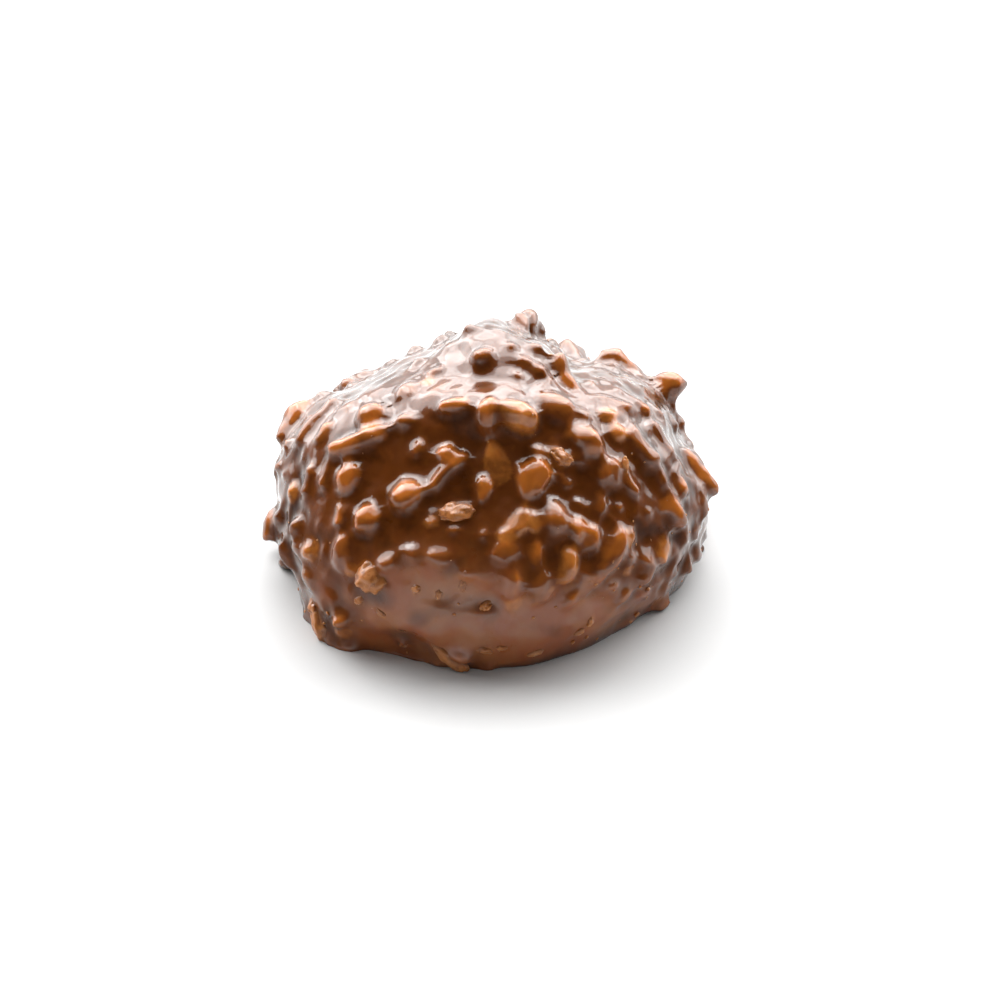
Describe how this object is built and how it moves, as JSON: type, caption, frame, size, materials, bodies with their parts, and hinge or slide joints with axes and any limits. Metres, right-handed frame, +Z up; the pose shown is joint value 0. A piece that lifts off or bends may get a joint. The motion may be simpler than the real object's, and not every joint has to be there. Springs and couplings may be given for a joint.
{
  "type": "chocolate haystack",
  "caption": "Domed chocolate haystack: a mound of chopped nuts and wafer flakes coated in glossy milk chocolate, with a lumpy top and a smooth foot.",
  "frame": {"origin": "on the surface that the sweet stands on, under the middle of its outline box", "axes": "+Z up, +X to the viewer's right along the longest side, +Y away from the viewer; the pictured side faces -Y"},
  "size_m": [0.0382, 0.036, 0.0214],
  "materials": {
    "milk_chocolate": "glossy set milk chocolate over nut lumps"
  },
  "bodies": {
    "root": {"haystack": "milk_chocolate"}
  },
  "joints": []
}
